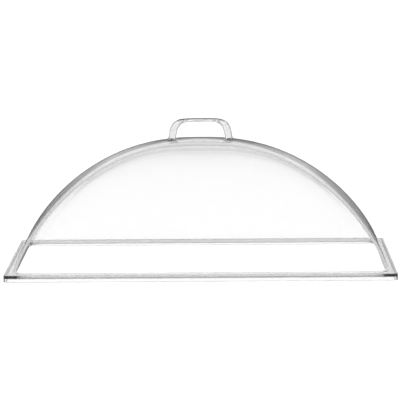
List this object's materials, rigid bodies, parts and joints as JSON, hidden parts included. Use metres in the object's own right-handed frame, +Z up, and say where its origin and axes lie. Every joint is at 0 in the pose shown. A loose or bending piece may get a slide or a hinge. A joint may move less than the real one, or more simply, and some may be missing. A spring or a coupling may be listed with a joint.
{
  "type": "buffet food cover dome",
  "caption": "Clear plastic pillow-shaped food cover, open along one long side, on a flat flange with a turned-down skirt and a bow handle studded to its crown",
  "frame": {"origin": "middle of the cover's footprint, on the plane that the skirt's lower edge rests on", "axes": "X along the cover, the open long side faces -Y, Z up"},
  "size_m": [0.53, 0.325, 0.2032],
  "materials": {
    "clear_polycarbonate": "clear, colourless, polished",
    "clear_silicone": "clear, slightly cloudy, satin"
  },
  "bodies": {
    "root": {"dome_shell": "clear_polycarbonate", "handle": "clear_polycarbonate", "sealing_washers": "clear_silicone", "retaining_buttons": "clear_polycarbonate"}
  },
  "joints": []
}
